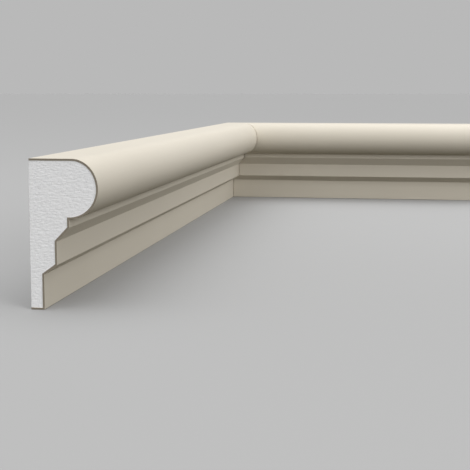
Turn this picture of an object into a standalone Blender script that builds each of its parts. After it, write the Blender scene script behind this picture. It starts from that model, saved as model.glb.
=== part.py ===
"""A panel moulding of rigid foam, in two lengths that are mitred round an inside corner.

+Z is up. The left length lies along Y and its back faces -X. The right length lies along X
and its back faces +Y. The origin is at the middle of the bounding box, at its underside.
"""

import math

import bmesh
import bpy

# The two lengths, each measured along its wall from the corner, in metres.
LEFT_LENGTH = 0.550
RIGHT_LENGTH = 0.250

# Heights of the profile's members, from the top down. The half-round is twice its radius high.
TORUS_RADIUS = 0.01385
FILLET_HEIGHT = 0.0040
UPPER_SLOPE_HEIGHT = 0.0064
UPPER_FASCIA_HEIGHT = 0.0110
LOWER_SLOPE_HEIGHT = 0.0045
LOWER_FASCIA_HEIGHT = 0.0164

# How far each face stands out from the wall. The half-round sits on the fillet's face, and the
# flat top runs on over it a little, which makes its upper quarter fuller than its lower one.
FILLET_PROUD = 0.01875
UPPER_FASCIA_PROUD = 0.0127
LOWER_FASCIA_PROUD = 0.00645
TORUS_FLAT = 0.0015

# The soft edge that the coat leaves on every outer corner, and the open joint at the mitre.
ARRIS_RADIUS = 0.0004
MITRE_GAP = 0.0003

# Faces round the half-round and round each soft edge.
TORUS_FACES = 48
ARRIS_FACES = 4

MITRE_ANGLE = math.radians(45)
WELD = 0.000001
SMOOTH_BELOW = math.radians(30)

CREAM_COAT = (0.80, 0.74, 0.64, 1.0)
COAT_ROUGHNESS = 0.45

FOOT_HEIGHT = 0.0
LOWER_SLOPE_FOOT = FOOT_HEIGHT + LOWER_FASCIA_HEIGHT
UPPER_FASCIA_FOOT = LOWER_SLOPE_FOOT + LOWER_SLOPE_HEIGHT
UPPER_SLOPE_FOOT = UPPER_FASCIA_FOOT + UPPER_FASCIA_HEIGHT
FILLET_FOOT = UPPER_SLOPE_FOOT + UPPER_SLOPE_HEIGHT
QUIRK_HEIGHT = FILLET_FOOT + FILLET_HEIGHT
TORUS_CENTRE_HEIGHT = QUIRK_HEIGHT + TORUS_RADIUS
TOTAL_HEIGHT = TORUS_CENTRE_HEIGHT + TORUS_RADIUS
PROJECTION = FILLET_PROUD + TORUS_RADIUS

# Where the two walls meet, at the height of the moulding's underside.
CORNER_X = -RIGHT_LENGTH / 2
CORNER_Y = LEFT_LENGTH / 2


def clear_scene():
    """Start from nothing."""
    for thing in list(bpy.data.objects):
        bpy.data.objects.remove(thing, do_unlink=True)


def new_collection(name):
    """A collection of that name in the scene."""
    collection = bpy.data.collections.new(name)
    bpy.context.scene.collection.children.link(collection)
    return collection


def coat_material(name):
    """The cream coat, satin and not metallic."""
    material = bpy.data.materials.new(name)
    material.use_nodes = True
    shader = material.node_tree.nodes["Principled BSDF"]
    shader.inputs["Base Color"].default_value = CREAM_COAT
    shader.inputs["Roughness"].default_value = COAT_ROUGHNESS
    shader.inputs["Metallic"].default_value = 0.0
    material.diffuse_color = CREAM_COAT
    return material


def arc(centre, radius, start, end, faces):
    """Points along an arc from one angle to another, both ends included."""
    points = []
    for step in range(faces + 1):
        angle = start + (end - start) * step / faces
        points.append((centre[0] + radius * math.cos(angle), centre[1] + radius * math.sin(angle)))
    return points


def soft_corner(before, corner, after):
    """An outer corner between two straight faces, eased to the arris radius."""
    to_before = (before[0] - corner[0], before[1] - corner[1])
    to_after = (after[0] - corner[0], after[1] - corner[1])
    angle_before = math.atan2(to_before[1], to_before[0])
    angle_after = math.atan2(to_after[1], to_after[0])
    opening = (angle_after - angle_before) % math.tau
    if opening > math.pi:
        opening -= math.tau
    half = abs(opening) / 2
    reach = ARRIS_RADIUS / math.sin(half)
    middle = angle_before + opening / 2
    centre = (corner[0] + reach * math.cos(middle), corner[1] + reach * math.sin(middle))
    turn = math.copysign(math.pi / 2 - half, opening)
    outward = middle + math.pi
    return arc(centre, ARRIS_RADIUS, outward + turn, outward - turn, ARRIS_FACES)


def half_round():
    """The half-round from its top down: a round lower quarter under a slightly squarer upper one."""
    points = []
    centre = (FILLET_PROUD, TORUS_CENTRE_HEIGHT)
    for out, height in arc(centre, TORUS_RADIUS, math.pi / 2, -math.pi / 2, TORUS_FACES):
        if height > TORUS_CENTRE_HEIGHT:
            out += TORUS_FLAT * (PROJECTION - out) / TORUS_RADIUS
        points.append((out, height))
    return points


def profile_outline():
    """The moulding's section as (distance from the wall, height), clockwise from the wall's top."""
    wall_top = (0.0, TOTAL_HEIGHT)
    torus = half_round()
    quirk = (FILLET_PROUD, QUIRK_HEIGHT)
    fillet_foot = (FILLET_PROUD, FILLET_FOOT)
    upper_fascia_top = (UPPER_FASCIA_PROUD, UPPER_SLOPE_FOOT)
    upper_fascia_foot = (UPPER_FASCIA_PROUD, UPPER_FASCIA_FOOT)
    lower_fascia_top = (LOWER_FASCIA_PROUD, LOWER_SLOPE_FOOT)
    lower_fascia_foot = (LOWER_FASCIA_PROUD, FOOT_HEIGHT)
    wall_foot = (0.0, FOOT_HEIGHT)

    outline = [wall_top]
    outline += torus
    outline += soft_corner(quirk, fillet_foot, upper_fascia_top)
    outline.append(upper_fascia_top)
    outline += soft_corner(upper_fascia_top, upper_fascia_foot, lower_fascia_top)
    outline.append(lower_fascia_top)
    outline += soft_corner(lower_fascia_top, lower_fascia_foot, wall_foot)
    outline.append(wall_foot)
    return outline


def extrusion(name, length, collection):
    """The section as a flat outline, extruded to the length, as a closed mesh object.

    The section lies in the object's XY plane, with the wall at x = 0, and runs half the length
    each way along its Z.
    """
    curve = bpy.data.curves.new(name + "_outline", "CURVE")
    curve.dimensions = "2D"
    curve.fill_mode = "BOTH"
    curve.extrude = length / 2
    points = profile_outline()
    spline = curve.splines.new("POLY")
    spline.points.add(len(points) - 1)
    for point, (out, height) in zip(spline.points, points):
        point.co = (out, height, 0.0, 1.0)
    spline.use_cyclic_u = True

    guide = bpy.data.objects.new(name + "_outline", curve)
    collection.objects.link(guide)
    graph = bpy.context.evaluated_depsgraph_get()
    mesh = bpy.data.meshes.new_from_object(guide.evaluated_get(graph))
    mesh.name = name
    bpy.data.objects.remove(guide, do_unlink=True)

    shape = bmesh.new()
    shape.from_mesh(mesh)
    bmesh.ops.remove_doubles(shape, verts=shape.verts, dist=WELD)
    bmesh.ops.recalc_face_normals(shape, faces=shape.faces)
    shape.to_mesh(mesh)
    shape.free()

    body = bpy.data.objects.new(name, mesh)
    collection.objects.link(body)
    return body


def mitre_cutter(name, side, collection):
    """A block that takes off what lies past the mitre's plane, and half of the open joint with it.

    The plane bisects the corner. The block cuts the left length when side is 1, and the right
    length when side is -1.
    """
    size = 4 * (TOTAL_HEIGHT + PROJECTION)
    away = side * (size - MITRE_GAP) / 2
    bpy.ops.mesh.primitive_cube_add(
        size=size,
        location=(
            CORNER_X + away * math.cos(MITRE_ANGLE),
            CORNER_Y + away * math.sin(MITRE_ANGLE),
            TOTAL_HEIGHT / 2,
        ),
        rotation=(0.0, 0.0, MITRE_ANGLE),
    )
    cutter = bpy.context.object
    cutter.name = name
    for owner in list(cutter.users_collection):
        owner.objects.unlink(cutter)
    collection.objects.link(cutter)
    cutter.display_type = "WIRE"
    cutter.hide_render = True
    return cutter


def cut_mitre(body, cutter):
    """Saw the body's end off along the mitre."""
    saw = body.modifiers.new("mitre", "BOOLEAN")
    saw.operation = "DIFFERENCE"
    saw.solver = "EXACT"
    saw.object = cutter


def shade_round_faces(body):
    """Smooth shading over the half-round and the soft edges, sharp elsewhere."""
    body.data.shade_smooth()
    body.data.set_sharp_from_angle(angle=SMOOTH_BELOW)


def left_length(parts, cutters):
    """The length on the left wall, from its square cut to the mitre."""
    body = extrusion("left_length", LEFT_LENGTH, parts)
    body.location = (CORNER_X, CORNER_Y - LEFT_LENGTH / 2, FOOT_HEIGHT)
    body.rotation_euler = (math.pi / 2, 0.0, 0.0)
    body.data.materials.append(coat_material("left_length_coat"))
    shade_round_faces(body)
    cut_mitre(body, mitre_cutter("left_mitre_cutter", 1, cutters))


def right_length(parts, cutters):
    """The length on the right wall, from the mitre to its square cut."""
    body = extrusion("right_length", RIGHT_LENGTH, parts)
    body.location = (CORNER_X + RIGHT_LENGTH / 2, CORNER_Y, FOOT_HEIGHT)
    body.rotation_euler = (math.pi / 2, 0.0, -math.pi / 2)
    body.data.materials.append(coat_material("right_length_coat"))
    shade_round_faces(body)
    cut_mitre(body, mitre_cutter("right_mitre_cutter", -1, cutters))


def main():
    clear_scene()
    parts = new_collection("panel_moulding")
    cutters = new_collection("cutters")
    left_length(parts, cutters)
    right_length(parts, cutters)


main()
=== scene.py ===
"""The looks of a coated foam panel moulding, in two lengths mitred round an inside corner."""

import math
from dataclasses import dataclass

import bmesh
import bpy
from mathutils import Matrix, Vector


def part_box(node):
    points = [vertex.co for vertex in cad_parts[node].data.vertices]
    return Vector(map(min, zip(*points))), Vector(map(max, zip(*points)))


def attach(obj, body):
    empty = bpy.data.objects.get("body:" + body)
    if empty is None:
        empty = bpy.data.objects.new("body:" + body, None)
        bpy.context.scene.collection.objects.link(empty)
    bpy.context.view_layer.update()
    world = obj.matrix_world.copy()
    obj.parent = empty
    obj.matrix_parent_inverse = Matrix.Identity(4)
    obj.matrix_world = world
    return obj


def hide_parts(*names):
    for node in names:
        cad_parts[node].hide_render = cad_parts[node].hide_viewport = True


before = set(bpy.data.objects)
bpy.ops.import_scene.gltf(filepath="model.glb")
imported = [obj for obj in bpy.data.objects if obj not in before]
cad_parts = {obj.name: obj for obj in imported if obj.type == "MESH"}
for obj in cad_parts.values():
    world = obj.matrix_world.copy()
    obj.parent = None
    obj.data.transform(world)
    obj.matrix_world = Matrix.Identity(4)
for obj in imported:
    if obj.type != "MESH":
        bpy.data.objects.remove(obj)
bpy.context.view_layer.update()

UP = Vector((0, 0, 1))

# Two places are the same within NEAR, and points within WELD are merged. The share of a face's
# normal along an axis counts as none below SLIGHT, and as all of it above 1 - SLIGHT.
NEAR = 0.00001
WELD = 0.000001
SLIGHT = 0.01
SMOOTH_BELOW = math.radians(30)

# The section's members, in metres, as the solids have them. The flat top runs on over the
# half-round a little, which makes its upper quarter fuller than its lower one.
TORUS_RADIUS = 0.01385
TORUS_FLAT = 0.0015
FILLET_PROUD = 0.01875
FILLET_HEIGHT = 0.0040
UPPER_SLOPE_HEIGHT = 0.0064
UPPER_FASCIA_PROUD = 0.0127
UPPER_FASCIA_HEIGHT = 0.0110
LOWER_SLOPE_HEIGHT = 0.0045
LOWER_FASCIA_PROUD = 0.00645
TORUS_FACES = 64
PROJECTION = FILLET_PROUD + TORUS_RADIUS

# The coat, its soft edges and the glued hairline at the mitre.
COAT = 0.0009
OUTER_EASE = 0.0003
INNER_EASE = 0.0002
EASE_FACES = 4
MITRE_EASE = 0.0003
MITRE_EASE_FACES = 2
HAIRLINE = 0.0005

# The sawn foam: how far it lies behind the coat's cut edge, the level ripples that the saw leaves
# in it, each several times as long as it is high, and the specks of its open cells and grain. The
# open cells are painted darker at their middles, as painted shade in their hollows.
FOAM_SETBACK = 0.00010
RIPPLE_SIZE = 0.00055
RIPPLE_DEPTH = 0.00014
RIPPLE_STRETCH = 3.5
GRAIN_SIZE = 0.0005
GRAIN_DEPTH = 0.00005
OPEN_CELL_SIZE = 0.0009
SPECK_SIZE = 0.0006
SAWN_GRID = 0.00025
SAWN_MARGIN = 0.001

# The finishes' other patterns: how large their features are, and how deep their relief is.
COAT_CLOUD_SIZE = 0.060
DRAWN_LINE_SIZE = 0.0009
DRAWN_LINE_STRETCH = 100
DRAWN_LINE_RELIEF = 0.00003
SKIN_SIZE = 0.00045
SKIN_RELIEF = 0.000012
CUT_GRAIN_SIZE = 0.00035
CUT_GRAIN_RELIEF = 0.00005
FOAM_CLOUD_SIZE = 0.014
FOAM_RELIEF = 0.0001

# How rough the finishes are and how much they shine, from 0 to 1.
COAT_ROUGHNESS = 0.45
COAT_SHINE = 0.4
CUT_COAT_ROUGHNESS = 0.75
CUT_COAT_SHINE = 0.2
FOAM_ROUGHNESS = 0.9
FOAM_SHINE = 0.15
FLOOR_ROUGHNESS = 0.9
FLOOR_SHINE = 0.0

# Colours, as linear values.
COAT_DEEP = (0.583, 0.538, 0.456, 1.0)
COAT_PALE = (0.632, 0.588, 0.505, 1.0)
CUT_COAT_DEEP = (0.22, 0.19, 0.15, 1.0)
CUT_COAT_PALE = (0.31, 0.275, 0.225, 1.0)
FOAM_DEEP = (0.735, 0.745, 0.775, 1.0)
FOAM_PALE = (0.98, 0.985, 1.0, 1.0)
FLOOR_PALE = (0.368, 0.368, 0.368, 1.0)

# The floor and the dome. The dome's stops are heights, from -1 to 1, with the colour there.
FLOOR_RADIUS = 25.0
FLOOR_SIDES = 96
FLOOR_GAP = 0.0001
SKY = 2.11
BLACK = (0.0, 0.0, 0.0, 1.0)
WHITE = (1.0, 1.0, 1.0, 1.0)
GROUND = (0.052, 0.047, 0.035, 1.0)
HORIZON = (0.23, 0.23, 0.23, 1.0)
DOME = ((-1.0, GROUND), (-0.04, GROUND), (-0.03, HORIZON), (0.52, HORIZON), (0.9, WHITE))

# The two lights: how large, how far from what they aim at, how far round to the right, how high
# and how strong. Their light keeps to a cone, so that it makes no bright patch on the floor.
BOX_SPREAD = math.radians(60)
SOFT_BOX = {
    "size": 1.8,
    "distance": 3.2,
    "azimuth": math.radians(50),
    "elevation": math.radians(20),
    "power": 6.53,
}
CORNER_FILL = {
    "size": 0.5,
    "distance": 0.8,
    "azimuth": math.radians(70),
    "elevation": math.radians(25),
    "power": 0.225,
}

# The camera, from the picture's own perspective: the corner lies a little left of it and a metre
# in front, and the camera is just above the moulding's top.
PICTURE_PIXELS = 470
FOCAL_PIXELS = 1091.7
SHIFT_PIXELS = -29.2
CAMERA_PITCH = math.radians(6.080)
CAMERA_YAW = math.radians(9.163)
CORNER_LEFT = 0.00675
CORNER_DEPTH = 1.0410
CAMERA_ABOVE_TOP = 0.03126
SENSOR_WIDTH = 36.0
NEAREST_SEEN = 0.01
FARTHEST_SEEN = 50.0

left_low, left_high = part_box("left_length")
right_low, right_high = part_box("right_length")
UNDERSIDE = left_low.z
TOP = left_high.z
MIDDLE = (TOP + UNDERSIDE) / 2
CORNER = Vector((left_low.x, right_high.y, 0))

# Heights of the section's corners, from the top down.
TORUS_CENTRE = TOP - TORUS_RADIUS
QUIRK = TOP - 2 * TORUS_RADIUS
FILLET_FOOT = QUIRK - FILLET_HEIGHT
UPPER_FASCIA_TOP = FILLET_FOOT - UPPER_SLOPE_HEIGHT
UPPER_FASCIA_FOOT = UPPER_FASCIA_TOP - UPPER_FASCIA_HEIGHT
LOWER_FASCIA_TOP = UPPER_FASCIA_FOOT - LOWER_SLOPE_HEIGHT
OUTER_CORNERS = (
    (FILLET_PROUD, FILLET_FOOT),
    (UPPER_FASCIA_PROUD, UPPER_FASCIA_FOOT),
    (LOWER_FASCIA_PROUD, UNDERSIDE),
)
INNER_CORNERS = (
    (FILLET_PROUD, QUIRK),
    (UPPER_FASCIA_PROUD, UPPER_FASCIA_TOP),
    (LOWER_FASCIA_PROUD, LOWER_FASCIA_TOP),
)


@dataclass
class Run:
    """A length of moulding: where it goes from the corner, and which way it faces."""

    name: str
    out: Vector
    along: Vector
    length: float

    def place(self, out, along, height):
        """The world place of a point of this run."""
        return CORNER + self.out * out + self.along * along + UP * height

    def from_back(self, point):
        """How far the point stands out from this run's back."""
        return (point - CORNER).dot(self.out)

    def from_corner(self, point):
        """How far along this run the point lies from the corner."""
        return (point - CORNER).dot(self.along)

    def past_mitre(self):
        """The way square to the mitre's plane that leads out of this run."""
        return (self.out - self.along).normalized()


left_run = Run("left", Vector((1, 0, 0)), Vector((0, -1, 0)), right_high.y - left_low.y)
right_run = Run("right", Vector((0, -1, 0)), Vector((1, 0, 0)), right_high.x - left_low.x)


def select_none():
    """Nothing selected and no mesh being edited."""
    if bpy.context.object and bpy.context.object.mode != "OBJECT":
        bpy.ops.object.mode_set(mode="OBJECT")
    bpy.ops.object.select_all(action="DESELECT")


def take(piece):
    """The piece as the only one selected."""
    select_none()
    piece.select_set(True)
    bpy.context.view_layer.objects.active = piece


def pick(piece, kind, test):
    """Select the piece's verts, edges or faces that pass the test, in edit mode."""
    modes = {"verts": "VERT", "edges": "EDGE", "faces": "FACE"}
    take(piece)
    bpy.ops.object.mode_set(mode="EDIT")
    bpy.ops.mesh.select_mode(type=modes[kind])
    bpy.ops.mesh.select_all(action="DESELECT")
    mesh = bmesh.from_edit_mesh(piece.data)
    for element in getattr(mesh, kind):
        if test(element):
            element.select_set(True)
    mesh.select_flush_mode()
    bmesh.update_edit_mesh(piece.data)


def pick_all(piece):
    """Select all of the piece, in edit mode."""
    pick(piece, "faces", lambda face: True)


def pick_edges(piece, test):
    """Select the piece's edges of which both ends pass the test, in edit mode."""
    pick(piece, "edges", lambda edge: all(test(vert.co) for vert in edge.verts))


def apply_modifier(piece, kind, settings):
    """Add a modifier with those settings and apply it."""
    take(piece)
    modifier = piece.modifiers.new(kind.lower(), kind)
    for name, value in settings.items():
        setattr(modifier, name, value)
    bpy.ops.object.modifier_apply(modifier=modifier.name)


def section_steps():
    """The flat members below the half-round, as steps outwards and up."""
    return [
        (0, FILLET_FOOT - QUIRK),
        (UPPER_FASCIA_PROUD - FILLET_PROUD, UPPER_FASCIA_TOP - FILLET_FOOT),
        (0, UPPER_FASCIA_FOOT - UPPER_FASCIA_TOP),
        (LOWER_FASCIA_PROUD - UPPER_FASCIA_PROUD, LOWER_FASCIA_TOP - UPPER_FASCIA_FOOT),
        (0, UNDERSIDE - LOWER_FASCIA_TOP),
        (-LOWER_FASCIA_PROUD, 0),
    ]


def moulded_sheet(run, name):
    """The coated faces as one bent sheet, from the back's top over the half-round to its foot."""
    select_none()
    middle = run.place(FILLET_PROUD / 2, run.length / 2, TOP)
    bpy.ops.mesh.primitive_plane_add(size=1, location=middle)
    sheet = bpy.context.object
    sheet.name = name
    sheet.data.name = name
    reach = run.out * FILLET_PROUD + run.along * run.length
    sheet.scale = (abs(reach.x), abs(reach.y), 1)
    bpy.ops.object.transform_apply(location=True, rotation=True, scale=True)

    pick_edges(sheet, lambda point: run.from_back(point) > FILLET_PROUD - NEAR)
    centre = run.place(FILLET_PROUD, 0, TORUS_CENTRE)
    bpy.ops.mesh.spin(steps=TORUS_FACES, angle=math.pi, center=centre, axis=run.out.cross(UP))
    for out, up in section_steps():
        bpy.ops.mesh.extrude_edges_move(TRANSFORM_OT_translate={"value": run.out * out + UP * up})
    bpy.ops.mesh.select_all(action="SELECT")
    bpy.ops.mesh.remove_doubles(threshold=WELD)
    face_sheet_outwards(sheet)
    fill_shoulder(sheet, run)
    select_none()
    return sheet


def face_sheet_outwards(sheet):
    """Turn the sheet's faces so that its flat top faces up."""
    mesh = bmesh.from_edit_mesh(sheet.data)
    top = max(mesh.faces, key=lambda face: face.calc_center_median().z)
    if top.normal.z < 0:
        bpy.ops.mesh.flip_normals()


def fill_shoulder(sheet, run):
    """Push the half-round's upper quarter outwards, as far as the flat top runs on over it."""
    foremost = run.place(PROJECTION, 0, TORUS_CENTRE)

    def in_upper_quarter(vert):
        return vert.co.z > foremost.z + NEAR and run.from_back(vert.co) > FILLET_PROUD - NEAR

    pick(sheet, "verts", in_upper_quarter)
    squeeze = [1 - abs(part) * TORUS_FLAT / TORUS_RADIUS for part in run.out]
    bpy.ops.transform.resize(value=squeeze, center_override=foremost)


def saw_mitre(piece, run):
    """Saw the corner end at 45 degrees, clear of the other length by half the hairline."""
    pick_all(piece)
    normal = run.past_mitre()
    point = CORNER - normal * HAIRLINE / 2
    bpy.ops.mesh.bisect(plane_co=point, plane_no=normal, use_fill=True, clear_outer=True)
    select_none()


def pitted(sheet, kind, size, depth):
    """Push the sheet's points out along its normal by up to the depth, in pits of about that size."""
    texture = bpy.data.textures.new("pits", kind)
    texture.noise_scale = size
    settings = {"texture": texture, "texture_coords": "LOCAL", "strength": depth, "mid_level": 0.0}
    apply_modifier(sheet, "DISPLACE", settings)


def rough_block(run):
    """A block past the run's square end, whose face towards the run is rough.

    The face is pitted while it is narrow and then stretched, which draws the pits out level.
    """
    select_none()
    width = PROJECTION + 2 * SAWN_MARGIN
    height = TOP - UNDERSIDE + 2 * SAWN_MARGIN
    across = round(width / SAWN_GRID)
    up = round(height / SAWN_GRID)
    bpy.ops.mesh.primitive_grid_add(x_subdivisions=across, y_subdivisions=up, size=1)
    block = bpy.context.object
    block.scale = (width / RIPPLE_STRETCH, height, 1)
    bpy.ops.object.transform_apply(location=False, rotation=False, scale=True)
    pitted(block, "VORONOI", RIPPLE_SIZE, RIPPLE_DEPTH)
    pitted(block, "CLOUDS", GRAIN_SIZE, GRAIN_DEPTH)
    block.scale = (RIPPLE_STRETCH, 1, 1)
    block.rotation_euler = (-run.along).to_track_quat("Z", "Y").to_euler()
    block.location = run.place(width / 2 - SAWN_MARGIN, run.length - FOAM_SETBACK, MIDDLE)
    bpy.ops.object.transform_apply(location=True, rotation=True, scale=True)
    pick(block, "edges", lambda edge: edge.is_boundary)
    bpy.ops.mesh.extrude_edges_move(TRANSFORM_OT_translate={"value": run.along * width})
    bpy.ops.mesh.edge_face_add()
    bpy.ops.mesh.select_all(action="SELECT")
    bpy.ops.mesh.normals_make_consistent(inside=False)
    select_none()
    return block


def saw_rough(core, run):
    """Take the core's square end off with the rough block."""
    block = rough_block(run)
    apply_modifier(core, "BOOLEAN", {"object": block, "operation": "DIFFERENCE", "solver": "EXACT"})
    bpy.data.objects.remove(block, do_unlink=True)


def round_picked_edges(width, faces):
    """Round the picked edges off to that width."""
    bpy.ops.mesh.bevel(
        offset=width,
        offset_type="OFFSET",
        segments=faces,
        profile=0.5,
        affect="EDGES",
    )
    select_none()


def at_corner(run, point, corners):
    """True if the point lies on one of those corners of the section."""
    out = run.from_back(point)
    return any(abs(out - c[0]) < NEAR and abs(point.z - c[1]) < NEAR for c in corners)


def ease_corners(coat, run, corners, width):
    """Round the long edges over those corners of the section."""
    pick_edges(coat, lambda point: at_corner(run, point, corners))
    round_picked_edges(width, EASE_FACES)


def on_mitre(run, edge):
    """True if the edge lies on the run's sawn mitre."""
    normal = run.past_mitre()
    return all(abs((vert.co - CORNER).dot(normal) + HAIRLINE / 2) < NEAR for vert in edge.verts)


def shows_out(run, face):
    """True for the coat's own faces that look to the front, not for its sawn ends."""
    return face.normal.dot(run.out) > SLIGHT and abs(face.normal.dot(run.along)) < SLIGHT


def ease_mitre(coat, run):
    """Take the sharp edge off the coat at the mitre, so that the joint shows as a fine line."""
    def at_mitre(edge):
        return on_mitre(run, edge) and any(shows_out(run, face) for face in edge.link_faces)

    pick(coat, "edges", at_mitre)
    round_picked_edges(MITRE_EASE, MITRE_EASE_FACES)


def smooth(piece):
    """Smooth the half-round and the eased corners, and leave the others crisp."""
    take(piece)
    bpy.ops.object.shade_smooth_by_angle(angle=SMOOTH_BELOW)


def coat_length(run):
    """The coat of one length: a thin shell over the faces that show, open at the back."""
    coat = moulded_sheet(run, run.name + "_coat")
    apply_modifier(coat, "SOLIDIFY", {"thickness": COAT, "offset": -1, "use_even_offset": True})
    ease_corners(coat, run, OUTER_CORNERS, OUTER_EASE)
    ease_corners(coat, run, INNER_CORNERS, INNER_EASE)
    saw_mitre(coat, run)
    ease_mitre(coat, run)
    smooth(coat)
    return coat


def foam_length(run):
    """The foam core of one length, under the coat and flush with its edges at the back."""
    core = moulded_sheet(run, run.name + "_foam")
    pick_all(core)
    bpy.ops.transform.shrink_fatten(value=-COAT, use_even_offset=True)
    pick_edges(core, lambda point: run.from_back(point) < NEAR)
    bpy.ops.mesh.bridge_edge_loops()
    for end in (0, run.length):
        pick_edges(core, lambda point: abs(run.from_corner(point) - end) < NEAR)
        bpy.ops.mesh.edge_face_add()
    pick_all(core)
    bpy.ops.mesh.normals_make_consistent(inside=False)
    saw_mitre(core, run)
    saw_rough(core, run)
    smooth(core)
    return core


@dataclass
class Wire:
    """One output of a node. Arithmetic on it adds the Math nodes."""

    tree: object
    socket: object

    def __add__(self, other):
        return self.tree.math("ADD", self, other)

    def __radd__(self, other):
        return self.tree.math("ADD", other, self)

    def __mul__(self, other):
        return self.tree.math("MULTIPLY", self, other)

    def __rmul__(self, other):
        return self.tree.math("MULTIPLY", other, self)


class Nodes:
    """The nodes of one material, or of the world."""

    def __init__(self, holder):
        holder.use_nodes = True
        self.holder = holder
        self.nodes = holder.node_tree.nodes
        self.links = holder.node_tree.links

    def feed(self, socket, value):
        """Link a wire to the socket, or write a plain value on it."""
        if isinstance(value, Wire):
            self.links.new(value.socket, socket)
        else:
            socket.default_value = value

    def node(self, kind, settings, inputs, output=0):
        """A node with its settings, then its inputs, and the wire of one output."""
        made = self.nodes.new(kind)
        for name, value in settings.items():
            if name == "stops":
                self.set_stops(made.color_ramp, value)
            else:
                setattr(made, name, value)
        for key, value in inputs.items():
            self.feed(made.inputs[key], value)
        return Wire(self, made.outputs[output])

    def set_stops(self, ramp, stops):
        """Give the ramp those stops, each a place and a colour."""
        while len(ramp.elements) < len(stops):
            ramp.elements.new(1.0)
        for element, (place, colour) in zip(ramp.elements, stops):
            element.position = place
            element.color = colour

    def math(self, operation, first, second):
        """A sum or a product of two numbers."""
        return self.node("ShaderNodeMath", {"operation": operation}, {0: first, 1: second})

    def object_place(self, stretch=(1, 1, 1), turn=0.0):
        """Object coordinates, turned about Z, for a pattern that is stretched that much each way."""
        here = self.node("ShaderNodeTexCoord", {}, {}, "Object")
        turned = self.node("ShaderNodeMapping", {}, {"Vector": here, "Rotation": (0, 0, turn)})
        scale = [1 / times for times in stretch]
        return self.node("ShaderNodeMapping", {}, {"Vector": turned, "Scale": scale})

    def noise(self, place, size, detail=2.0):
        """Soft noise with features about that large."""
        inputs = {"Vector": place, "Scale": 1 / size, "Detail": detail, "Roughness": 0.5}
        return self.node("ShaderNodeTexNoise", {}, inputs, "Fac")

    def cells(self, place, size):
        """Round cells about that large, dark at the middle and pale where they meet."""
        inputs = {"Vector": place, "Scale": 1 / size}
        return self.node("ShaderNodeTexVoronoi", {"feature": "F1"}, inputs, "Distance")

    def ramp(self, wire, stops):
        """The colour of the ramp at the wire's value."""
        return self.node("ShaderNodeValToRGB", {"stops": stops}, {"Fac": wire})

    def mix(self, amount, first, second):
        """A colour between two others. A Mix node tells its colour sockets by number alone."""
        settings = {"data_type": "RGBA", "blend_type": "MIX"}
        return self.node("ShaderNodeMix", settings, {0: amount, 6: first, 7: second}, 2)

    def bump(self, height, distance, strength, under=None):
        """Relief of that many metres at a height of 1, over another relief if there is one."""
        inputs = {"Height": height, "Distance": distance, "Strength": strength}
        if under is not None:
            inputs["Normal"] = under
        return self.node("ShaderNodeBump", {}, inputs, "Normal")

    def set(self, shader, **sockets):
        """Feed the shader of that name. An underline in a socket's name stands for a space."""
        for name, value in sockets.items():
            self.feed(self.nodes[shader].inputs[name.replace("_", " ")], value)
        return self.holder

    def surface(self, colour, roughness, shine, relief):
        """The finished material, with what its shader is fed."""
        return self.set(
            "Principled BSDF",
            Base_Color=colour,
            Roughness=roughness,
            Specular_IOR_Level=shine,
            Normal=relief,
        )


def new_finish(name):
    """The nodes of a new material."""
    return Nodes(bpy.data.materials.new(name))


def coat_finish(run):
    """Satin cream coat: a little mottled, with faint drawn lines along the length and a fine skin."""
    finish = new_finish(run.name + "_cream_coat")
    turn = math.atan2(run.along.x, run.along.y)
    place = finish.object_place()
    drawn = finish.object_place(stretch=(1, DRAWN_LINE_STRETCH, 1), turn=turn)
    cloud = finish.noise(place, COAT_CLOUD_SIZE, 3.0)
    lines = finish.noise(drawn, DRAWN_LINE_SIZE, 3.0)
    skin = finish.noise(place, SKIN_SIZE)
    tone = cloud * 0.7 + lines * 0.3
    colour = finish.mix(tone, COAT_DEEP, COAT_PALE)
    roughness = COAT_ROUGHNESS + lines * 0.10 + cloud * 0.06
    drawn_relief = finish.bump(lines, DRAWN_LINE_RELIEF, 0.5)
    relief = finish.bump(skin, SKIN_RELIEF, 0.6, drawn_relief)
    return finish.surface(colour, roughness, COAT_SHINE, relief)


def cut_coat_finish(run):
    """The coat where the saw went through it: coloured much darker than the coat, and matt."""
    finish = new_finish(run.name + "_cut_coat")
    grain = finish.noise(finish.object_place(), CUT_GRAIN_SIZE, 3.0)
    colour = finish.mix(grain, CUT_COAT_DEEP, CUT_COAT_PALE)
    relief = finish.bump(grain, CUT_GRAIN_RELIEF, 0.7)
    return finish.surface(colour, CUT_COAT_ROUGHNESS, CUT_COAT_SHINE, relief)


def foam_finish(run):
    """Bare white foam: specks of open cells in a fine grain, the cells painted darker at their middles
    as painted shade in their hollows, and ripples that run level.
    """
    finish = new_finish(run.name + "_white_foam")
    place = finish.object_place()
    level = finish.object_place(stretch=(RIPPLE_STRETCH, RIPPLE_STRETCH, 1))
    cells = finish.cells(place, OPEN_CELL_SIZE)
    specks = finish.noise(place, SPECK_SIZE)
    cloud = finish.noise(place, FOAM_CLOUD_SIZE)
    ripples = finish.noise(level, GRAIN_SIZE)
    # Painted shade: each open cell is painted darker towards its middle, as shade in its hollow.
    painted_pit_shade = finish.ramp(cells, ((0.05, BLACK), (0.45, WHITE)))
    tone = specks * 0.3 + painted_pit_shade * 0.6 + cloud * 0.1
    colour = finish.mix(tone, FOAM_DEEP, FOAM_PALE)
    relief = finish.bump(ripples, FOAM_RELIEF, 0.5)
    return finish.surface(colour, FOAM_ROUGHNESS, FOAM_SHINE, relief)


def dress(piece, materials, node):
    """Give the piece its finishes, hide the solid it stands for, and fix it to the body."""
    for material in materials:
        piece.data.materials.append(material)
    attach(piece, "root")
    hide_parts(node)


def paint_cut_faces(coat, run):
    """Put the second finish on the coat's sawn end."""
    for face in coat.data.polygons:
        at_end = run.from_corner(face.center) > run.length - NEAR
        looks_along = abs(face.normal.dot(run.along)) > 1 - SLIGHT
        face.material_index = 1 if at_end and looks_along else 0


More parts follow.
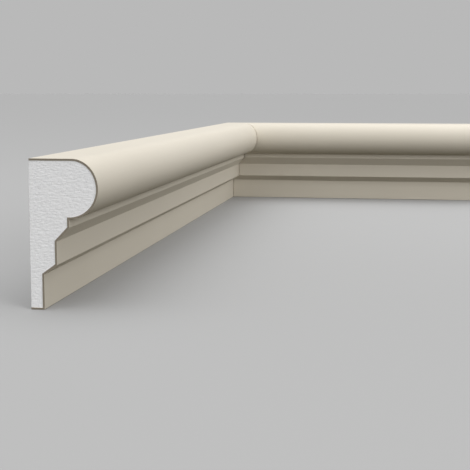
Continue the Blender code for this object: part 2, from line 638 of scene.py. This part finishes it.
def pale_floor():
    """A wide, plain floor at the moulding's underside. It catches shadows and throws no light back."""
    select_none()
    foot = (0, 0, UNDERSIDE - FLOOR_GAP)
    bpy.ops.mesh.primitive_circle_add(
        vertices=FLOOR_SIDES,
        radius=FLOOR_RADIUS,
        fill_type="NGON",
        location=foot,
    )
    floor = bpy.context.object
    floor.name = "floor"
    matt = new_finish("pale_floor").set(
        "Principled BSDF",
        Base_Color=FLOOR_PALE,
        Roughness=FLOOR_ROUGHNESS,
        Specular_IOR_Level=FLOOR_SHINE,
    )
    floor.data.materials.append(matt)
    floor.visible_diffuse = False
    floor.visible_glossy = False
    floor.visible_shadow = False


def soft_box(name, aim, size, distance, azimuth, elevation, power):
    """A square light on the open side of the corner, aimed at that point."""
    light = bpy.data.lights.new(name, "AREA")
    light.shape = "SQUARE"
    light.size = size
    light.spread = BOX_SPREAD
    light.energy = power
    level = Vector((math.sin(azimuth), -math.cos(azimuth), 0))
    away = level * math.cos(elevation) + UP * math.sin(elevation)
    box = bpy.data.objects.new(name, light)
    box.location = aim + away * distance
    box.rotation_euler = away.to_track_quat("Z", "Y").to_euler()
    box.visible_camera = False
    box.visible_glossy = False
    bpy.context.scene.collection.objects.link(box)


def studio():
    """A soft white dome, brightest overhead and dim below the horizon, a large box and a small fill."""
    world = bpy.data.worlds.new("studio")
    dome = Nodes(world)
    direction = dome.node("ShaderNodeTexCoord", {}, {}, "Generated")
    height = dome.node("ShaderNodeSeparateXYZ", {}, {"Vector": direction}, "Z")
    # A ramp runs from 0 to 1, so the heights are halved and moved up by a half.
    stops = [(place / 2 + 0.5, colour) for place, colour in DOME]
    dome.set("Background", Color=dome.ramp(height * 0.5 + 0.5, stops), Strength=SKY)
    bpy.context.scene.world = world
    soft_box("soft_box", UP * MIDDLE, **SOFT_BOX)
    soft_box("corner_fill", CORNER + UP * MIDDLE, **CORNER_FILL)
    bpy.context.scene.view_settings.view_transform = "Standard"


def photo_camera():
    """The camera at the photograph's angle, for a square picture."""
    camera = bpy.data.cameras.new("camera")
    camera.sensor_width = SENSOR_WIDTH
    camera.lens = FOCAL_PIXELS / PICTURE_PIXELS * SENSOR_WIDTH
    camera.shift_y = SHIFT_PIXELS / PICTURE_PIXELS
    camera.clip_start = NEAREST_SEEN
    camera.clip_end = FARTHEST_SEEN
    forward = Vector((-math.sin(CAMERA_YAW), math.cos(CAMERA_YAW), 0))
    right = Vector((math.cos(CAMERA_YAW), math.sin(CAMERA_YAW), 0))
    level_place = CORNER + right * CORNER_LEFT - forward * CORNER_DEPTH
    holder = bpy.data.objects.new("camera", camera)
    holder.location = level_place + UP * (TOP + CAMERA_ABOVE_TOP)
    holder.rotation_euler = (math.pi / 2 - CAMERA_PITCH, 0, CAMERA_YAW)
    bpy.context.scene.collection.objects.link(holder)
    bpy.context.scene.camera = holder


photo_camera()
studio()
pale_floor()
for run in (left_run, right_run):
    node = run.name + "_length"
    foam = foam_length(run)
    dress(foam, [foam_finish(run)], node)
    coat = coat_length(run)
    dress(coat, [coat_finish(run), cut_coat_finish(run)], node)
    paint_cut_faces(coat, run)
select_none()
